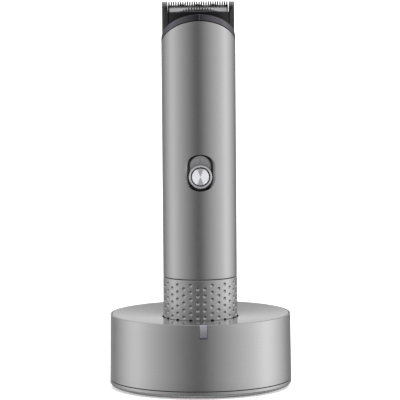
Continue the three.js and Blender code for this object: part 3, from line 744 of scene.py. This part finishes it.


# ------------------------------------------------------------ handpiece: slide switch
# A flat grey plate lies in a black frame behind the casing's slot. The round button stands on the
# slider: a bright ring, a shadow groove and a disc spun to fine circles, with a painted highlight in
# wedges to the left and right of its centre.

def turned_forward(points, radii, x=0.0, z=0.0, segments=160, steps=4, spacing=None):
    """A rounded half section of [radius, y] turned round an axis that points forward."""
    profile = rounded(points, radii, steps)
    if spacing:
        profile = filled(profile, spacing)
    angle = np.linspace(0, 2 * math.pi, segments, endpoint=False)
    r, y = profile[:, None, 0], profile[:, None, 1]
    grid = np.stack([x + r * np.cos(angle), y + 0 * angle, z + r * np.sin(angle)], -1)
    return grid, grid_faces(len(profile), segments)


def slot_ring(outer, inner, y0, y1, raised, edge=0.12):
    """A closed frame round a slot that is raised in it, with small flats on its front edges."""
    rows = []
    for outline, y, shrink, up in (
            (outer, y1, 0, 0), (outer, y0 + edge, 0, 0), (outer, y0, edge, 0),
            (inner, y0, -edge, raised), (inner, y0 + edge, 0, raised), (inner, y1, 0, raised)):
        width, height = outline
        flat = obround(width - 2 * shrink, height - 2 * shrink, 0, SWITCH_Z + up)
        rows.append(np.insert(flat, 1, y, axis=1))
    return np.stack(rows), grid_faces(6, 96)


gloss_black = Finish("gloss_black", (0.005, 0.005, 0.0058), 0.24, specular_ior_level=0.13)
ripple = gloss_black.noise(1500, 3)
# Painted highlight: above about 201.4 mm, with a ragged edge, the gloss black is painted light grey,
# standing in for glare on the rounded tops of the head.
painted_top_highlight = gloss_black.step(gloss_black.split(gloss_black.place)[2] + ripple * 0.0008, 0.2014, 0.2045)
gloss_black.feed("Base Color", gloss_black.between(
    painted_top_highlight, gloss_black.scaled((0.005, 0.005, 0.0058), ripple * 0.4 + 0.8), (0.17, 0.17, 0.175)))
gloss_black.feed("Roughness", ripple * 0.1 + painted_top_highlight * 0.2 + 0.19)
gloss_black.bump(ripple, 0.00003, 0.25)

RECESS_W = 11.4
RECESS_H = 17.9
RECESS_RAISE = 0.13
build("switch_frame", [slot_ring(
    (switch_high[0] * 2, switch_high[2] - switch_low[2]), (RECESS_W, RECESS_H),
    switch_low[1], switch_high[1], RECESS_RAISE)],
    "handpiece", ["switch_bezel"], black_plastic)

grey_plastic = Finish("grey_moulding", (0.20, 0.20, 0.205), 0.42)
dust = grey_plastic.noise(2600, 3)
grey_plastic.feed("Base Color", grey_plastic.scaled((0.215, 0.215, 0.22), dust * 0.24 + 0.88))
grey_plastic.feed("Roughness", dust * 0.14 + 0.34)
grey_plastic.bump(dust, 0.00003, 0.4)
plate_low, plate_high = corners("switch_plate")
plate_face = build("switch_plate_face", [prism_part(
    obround(RECESS_W - 0.4, RECESS_H - 0.4, 0, SWITCH_Z + RECESS_RAISE), plate_low[1], plate_high[1], "y")],
    "handpiece", ["switch_plate"], grey_plastic)
slider_low, slider_high = corners("switch_slider")
BUTTON_Z = slider_low[2] + (slider_high[0] - slider_low[0]) / 2
STEM_Z = BUTTON_Z - 1
TICK_Z = SWITCH_Z + 5.9
machine(plate_face, [
    tool("stem_slot", rectangle(-1.8, 1.8, STEM_Z - 1.8, STEM_Z + 6.5), -20, -10, "y"),
    tool("tick", obround(0.5, 1.9, 0, TICK_Z), -20, plate_low[1] + 0.25, "y"),
])
soften(plate_face, 0.1)

chrome = Finish("polished_ring", (0.88, 0.88, 0.90), 0.16, metallic=0.75)
sheen = chrome.noise(1200, 2)
chrome.feed("Base Color", chrome.scaled((0.76, 0.76, 0.78), sheen * 0.12 + 0.92))
chrome.feed("Roughness", sheen * 0.08 + 0.12)
ring_low, ring_high = corners("button_ring")
disc_low, disc_high = corners("button_disc")
ring_r, disc_r = ring_high[0], disc_high[0]
button_z = (ring_low[2] + ring_high[2]) / 2
build("button_ring_bright", [turned_forward(
    [(ring_r, ring_high[1]), (ring_r, ring_low[1]), (disc_r + 0.7, ring_low[1]),
     (disc_r + 0.62, ring_low[1] + 0.5), (disc_r + 0.62, ring_high[1])],
    [0, 0.4, 0.25, 0.02, 0], z=button_z, steps=6)],
    "switch", ["button_ring"], chrome)

spun = Finish("spun_disc", (0.80, 0.80, 0.83), 0.3, metallic=0.2)
spun_x, _, spun_z = spun.split(spun.place)
rise = spun_z - button_z * 0.001
radius = (spun_x * spun_x + rise * rise).maths("SQRT")
# Painted highlight: the disc is painted lighter in wedges to the left and right of its centre, standing in
# for the flash of spun metal.
fan = spun_x.maths("ABSOLUTE") / (radius + 0.00002)
bright = spun.step(fan, 0.22, 0.55)
rings = (radius * 26000).maths("SINE") * 0.5 + 0.5
scratch = spun.noise(1.0, 3, spun.node("ShaderNodeCombineXYZ", None, {0: radius * 9000}))
tone = bright * 0.50 + (rings * 0.05 + scratch * 0.10 + 0.34)
spun.feed("Base Color", spun.scaled((0.76, 0.76, 0.80), tone))
spun.feed("Roughness", scratch * 0.1 + 0.26)
spun.bump(rings * 0.6 + scratch * 0.4, 0.00002, 0.3)
DISC_DISH = 0.12
groove = np.linspace(disc_r - 0.35, 0.35, 44)
spun_profile = np.stack([groove, disc_low[1] + DISC_DISH * (1 - (groove / disc_r) ** 2)
                         + 0.012 * (np.arange(44) % 2)], -1)
disc_outline = np.concatenate([
    [(0.05, disc_high[1]), (disc_r, disc_high[1]), (disc_r, disc_low[1] + 0.25),
     (disc_r - 0.08, disc_low[1] + 0.07), (disc_r - 0.25, disc_low[1])],
    spun_profile, [(0.05, disc_low[1] + DISC_DISH)]])
spin = np.linspace(0, 2 * math.pi, 160, endpoint=False)
disc_grid = np.stack([
    disc_outline[:, :1] * np.cos(spin), disc_outline[:, 1:] + 0 * spin,
    button_z + disc_outline[:, :1] * np.sin(spin)], -1)
build("button_disc_spun", [
    (disc_grid[:, :], grid_faces(len(disc_outline), 160, wrap_rows=False).tolist()
     + [list(range(160)), list(range((len(disc_outline) - 1) * 160, len(disc_outline) * 160))]),
], "switch", ["button_disc"], spun, smooth=30)


# ------------------------------------------------------------ blade head: comb and cutter
# Both blades are stamped and ground steel, leaning back behind the cover. The fixed comb stands
# behind; the cutter's shorter teeth slide across its face, over a bar ground to a slope.

LEAN = math.radians(33)
TIP_Y = 0.5
_, comb_high = corners("fixed_blade")
_, cutter_high = corners("moving_blade")
COMB_T = 0.9
COMB_TEETH = 26
CUTTER_TEETH = 21
BAR_PROUD = 2.55
TIP_Z = comb_high[2]


def leaning(points):
    """Turns a blade's own frame about its tip: y cos - z sin + tip, y sin + z cos + tip."""
    c, s = math.cos(LEAN), math.sin(LEAN)
    x, y, z = points.T
    return np.stack([x, TIP_Y + y * c - z * s, TIP_Z + y * s + z * c], -1)


def toothed(half, root_half, shoulder, root, tip, gullet, teeth, foot_share, point_share):
    """A blade's outline: its body below, then each tooth tapering from its foot to its point."""
    pitch = 2 * half / teeth
    centre = (half - (np.arange(teeth) + 0.5) * pitch)[:, None]
    foot, point = pitch * foot_share / 2, pitch * point_share / 2
    across = centre + np.array([foot, point, -point, -foot])
    height = np.zeros((teeth, 1)) + np.array([tip - gullet, tip, tip, tip - gullet])
    body = [[-half, tip - gullet], [-half, shoulder], [-root_half, root],
            [root_half, root], [half, shoulder], [half, tip - gullet]]
    return np.concatenate([body, np.stack([across, height], -1).reshape(-1, 2)])


blade_steel = Finish("ground_blade_steel", (0.55, 0.55, 0.56), 0.34, metallic=0.7)
grind = blade_steel.noise(1.0, 4, blade_steel.stretched(9000, 500, 500))
stain = blade_steel.noise(260, 3)
blade_steel.feed("Base Color", blade_steel.scaled((0.55, 0.55, 0.56), grind * 0.30 + stain * 0.1 + 0.78))
blade_steel.feed("Roughness", grind * 0.14 + 0.28)
blade_steel.bump(grind, 0.00003, 0.5)

dark_steel = Finish("darkened_comb_steel", (0.11, 0.11, 0.115), 0.3, metallic=1.0)
dark_grind = dark_steel.noise(1.0, 4, dark_steel.stretched(9000, 500, 500))
dark_steel.feed("Base Color", dark_steel.scaled((0.11, 0.11, 0.115), dark_grind * 0.3 + 0.82))
dark_steel.feed("Roughness", dark_grind * 0.14 + 0.24)

comb = build("comb_blade", [prism_part(
    toothed(comb_high[0], 11, -17, -26, 0, 2.6, COMB_TEETH, 0.8, 0.5), -COMB_T, 0, "y")],
    "blade_head", ["fixed_blade"], dark_steel, place=leaning)
machine(comb, [tool("screw_hole", circle(1.3, side * 9.0, -22.0), -3, 3, "y", place=leaning)
               for side in (-1, 1)])
soften(comb, 0.06, segments=1)
cutter = build("cutter_blade", [prism_part(
    toothed(cutter_high[0], cutter_high[0] - 1, -13, -14, -0.9, 1.7, CUTTER_TEETH, 0.62, 0.30),
    -COMB_T - 1.0, -COMB_T - 0.2, "y")],
    "cutter", ["moving_blade"], blade_steel, place=leaning)
CUTTER_FACE = -COMB_T - 1.0
BAR_FACE = CUTTER_FACE - BAR_PROUD
machine(cutter, [], add=[tool("bar", np.array([
    (CUTTER_FACE + 0.4, -2.8), (CUTTER_FACE, -2.8), (BAR_FACE, -4.1), (BAR_FACE, -5.6),
    (CUTTER_FACE, -7.0), (CUTTER_FACE + 0.4, -7.0)]), -0.1 - cutter_high[0], cutter_high[0] + 0.1, "x",
    place=leaning)])
soften(cutter, 0.08, segments=1)


# ------------------------------------------------------------ blade head: frame and cover
# The moulded frame is gloss black: two cheeks beside the blades, a seat behind them and a spigot
# that plugs into the casing. The cover in front is crowned, with short ribs along its top edge.

_, frame_high = corners("head_frame")
HEAD_R = frame_high[0]
CHEEK_IN = comb_high[0] + GAP
HEAD_LOW = COLLAR_TOP + GAP
RIM = 0.6
SPIGOT_R = TUBE_IN - 0.2 - GAP
CHEEK_TOP = frame_high[2]


def wedge(name, height, low=120.0):
    """Everything below the slanted plane z = height - y tan(34 deg)."""
    reach = 40
    return tool(name, np.array([(-reach, low), (reach, low), (reach, height - reach * SLANT),
                                (-reach, height + reach * SLANT)]), -reach, reach, "x")


def drum_tool(name, r, low, high, hole=None, count=256):
    """A round bar, or a tube where a hole is given."""
    if hole is None:
        return tool(name, circle(r, count=count), low, high, "z")
    profile = [(hole, low), (r, low), (r, high), (hole, high)]
    return build(name, [ring_part(profile, [0, 0, 0, 0], count)], None)


cheek_profile = rounded(
    [(-14, 187.6), (-14, 194.1), (-11.5, 196.8), (-6.2, 202.2), (-3.8, CHEEK_TOP), (1.0, CHEEK_TOP),
     (20.4, 174.6), (20.4, 165)],
    [0, 3, 4, 6, 1.4, 1.2, 2, 0], steps=6)
head = build("head_frame_moulded", [prism_part(cheek_profile, -22, 22, "x")],
             "blade_head", ["head_frame"], gloss_black)
machine(head, [tool("between", rectangle(-CHEEK_IN, CHEEK_IN, -30, 30), 160, 220, "z")])
seats = [
    tool("seat_front", rectangle(-CHEEK_IN - 1, CHEEK_IN + 1, -44, -16.5), -16,
         -COMB_T - 0.3, "y", place=leaning),
    tool("seat_back", rectangle(-CHEEK_IN - 1, CHEEK_IN + 1, -43.9, -26 - GAP),
         -15.9, 0.2, "y", place=leaning),
]
machine(head, [wedge("below", HEAD_LOW)], keep=[drum_tool("round", HEAD_R, 160, 220)], add=seats)
rim_ring = drum_tool("rim", HEAD_R - 0.02, 165, 215, hole=SPIGOT_R - 1.8)
machine(rim_ring, [wedge("under", HEAD_LOW)], keep=[wedge("over", HEAD_LOW + RIM)])
spigot = drum_tool("spigot", SPIGOT_R, 167.0, 215, hole=SPIGOT_R - 1.78)
machine(spigot, [], keep=[wedge("over", HEAD_LOW + RIM - 0.01)])
machine(head, [drum_tool("passage", 9, 160, 230, count=64)] + [
    tool("screw_hole", circle(1.3, side * 9.0, -22.0), -7, 3, "y", place=leaning) for side in (-1, 1)],
    add=[rim_ring, spigot])
soften(head, 0.22, segments=2, angle=40)

_, cover_high = corners("front_cover")
COVER_R = 18.75
COVER_HALF = cover_high[0]
COVER_BACK = -3.2
COVER_T = 1.5
SEAT = HEAD_LOW + RIM + GAP
RIB_PITCH = 1.43
CROWN_Z = 198.85
ARCH_Z = 199.55


def crown(x):
    """Height of the cover's top edge: flat shoulders, and a hump in the middle cut into ribs."""
    hump = 2.0 * np.exp(-(x / 8.2) ** 4)
    ribs = 0.5 - 0.5 * np.cos(2 * math.pi * x / RIB_PITCH)
    return CROWN_Z + 0.4 * (1 - (x / 16) ** 2) + hump * (0.35 + 0.65 * ribs)


def cover_points(x, shrink):
    """The cover's half section at each x, from its seat up the front, over the top and down the back."""
    front = -np.sqrt((COVER_R - shrink) ** 2 - x ** 2)
    top = crown(x) - shrink
    arch = np.minimum(top, ARCH_Z - shrink - 0.10 * (x / 10) ** 2)
    back = COVER_BACK + 0 * x
    seat_front = SEAT - front * SLANT
    low = np.minimum(seat_front, arch - 0.35)
    share = np.linspace(0, 1, 9)[:, None]
    ridge = front + 0.9 + (back - 0.5 - front - 0.9) * share
    rise = arch + (top - arch) * share ** 2.2
    rows = [
        (front, low), (front, low + (arch - low) * 0.45), (front + 0.12, arch - 0.28),
        (front + 0.4, arch - 0.07), *zip(ridge, rise),
        (back - 0.15, top - 0.08), (back, top - 0.3), (back, top - COVER_T),
    ]
    inner = front + COVER_T
    rows += [(inner + (back - inner) * s, np.maximum(low, arch - COVER_T + (top - arch) * s ** 2.2))
             for s in (0.6, 0.3, 0.1)]
    rows += [(inner, np.minimum(low, arch - COVER_T)), (inner, SEAT - inner * SLANT)]
    return np.stack([np.stack([x + 0 * y, y, z], -1) for y, z in rows])


cover_x = np.linspace(-COVER_HALF, COVER_HALF, 353)
cover_grid = cover_points(cover_x, 0)
cover_rows = len(cover_grid)
cover_faces = grid_faces(cover_rows, 353, wrap_columns=False).tolist()
cover_faces += [[r * 353 for r in range(cover_rows)], [r * 353 + 352 for r in range(cover_rows)][::-1]]
build("front_cover_ribbed", [(cover_grid, cover_faces)],
      "blade_head", ["front_cover"], gloss_black, smooth=40)


# ------------------------------------------------------------ screws, and everything inside
# What stays hidden until the groomer is taken apart keeps its machined shape and gets its finish:
# plated steel, cast iron, brass, moulded plastic, green circuit board, cell sleeve and wire.

steel = Finish("plated_steel", (0.55, 0.56, 0.58), 0.34, metallic=1.0)
plating = steel.noise(1800, 4)
steel.feed("Base Color", steel.scaled((0.55, 0.56, 0.58), plating * 0.3 + 0.82))
steel.feed("Roughness", plating * 0.2 + 0.25)
steel.bump(plating, 0.00003, 0.3)

iron = Finish("cast_iron_black", (0.09, 0.092, 0.095), 0.7, metallic=0.6)
casting = iron.noise(900, 6)
iron.feed("Base Color", iron.scaled((0.09, 0.092, 0.095), casting * 0.8 + 0.6))
iron.feed("Roughness", casting * 0.3 + 0.5)
iron.bump(casting, 0.0002, 0.7)

brass = Finish("contact_brass_bright", (0.78, 0.57, 0.22), 0.25, metallic=1.0)
tarnish = brass.noise(1500, 4)
brass.feed("Base Color", brass.between(tarnish, (0.80, 0.60, 0.25), (0.62, 0.42, 0.16)))
brass.feed("Roughness", tarnish * 0.2 + 0.18)

white_plastic = Finish("natural_nylon", (0.66, 0.65, 0.60), 0.5)
cloud = white_plastic.noise(500, 4)
white_plastic.feed("Base Color", white_plastic.between(cloud, (0.70, 0.69, 0.65), (0.62, 0.61, 0.56)))
white_plastic.feed("Roughness", cloud * 0.15 + 0.42)
white_plastic.bump(cloud, 0.00005, 0.4)

board = Finish("green_circuit_board", (0.02, 0.12, 0.05), 0.4, coat_weight=0.4)
weave = board.node("ShaderNodeTexBrick", {"offset": 0.5}, {
    "Vector": board.place, "Color1": (0.018, 0.11, 0.045), "Color2": (0.022, 0.13, 0.05),
    "Mortar": (0.05, 0.20, 0.08), "Scale": 300.0, "Mortar Size": 0.03})
board.feed("Base Color", weave)
board.feed("Roughness", board.noise(900, 3) * 0.2 + 0.3)

sleeve = Finish("cell_sleeve", (0.03, 0.07, 0.22), 0.35, coat_weight=0.3)
wrinkle = sleeve.noise(1.0, 3, sleeve.stretched(300, 300, 60))
sleeve.feed("Base Color", sleeve.scaled((0.03, 0.075, 0.24), wrinkle * 0.4 + 0.8))
sleeve.feed("Roughness", wrinkle * 0.2 + 0.25)
sleeve.bump(wrinkle, 0.0001, 0.4)

red_wire = Finish("red_insulation", (0.42, 0.015, 0.012), 0.45)
insulation = red_wire.noise(1600, 3)
red_wire.feed("Base Color", red_wire.scaled((0.42, 0.016, 0.012), insulation * 0.3 + 0.85))
red_wire.feed("Roughness", insulation * 0.15 + 0.38)

FINISHES = {
    "satin_metal": body_satin, "pan_metal": pan_finish, "lid_metal": lid_finish,
    "collar_metal": collar_finish, "black_gloss": gloss_black, "black_plastic": black_plastic,
    "grey_plastic": grey_plastic, "white_plastic": white_plastic, "rubber": rubber,
    "chrome": chrome, "spun_steel": spun, "blade_steel": blade_steel, "steel": steel,
    "cast_iron": iron, "contact_brass": brass, "circuit_board": board, "cell_wrap": sleeve,
    "lens": lens_finish, "red_wire": red_wire,
}
slot_of = {part["node"]: part["material_slot"] for part in frame["record"]["subparts"]}
for node_name, node in frame["nodes"].items():
    node.data.materials.clear()
    node.data.materials.append(FINISHES[slot_of[node_name]].material)
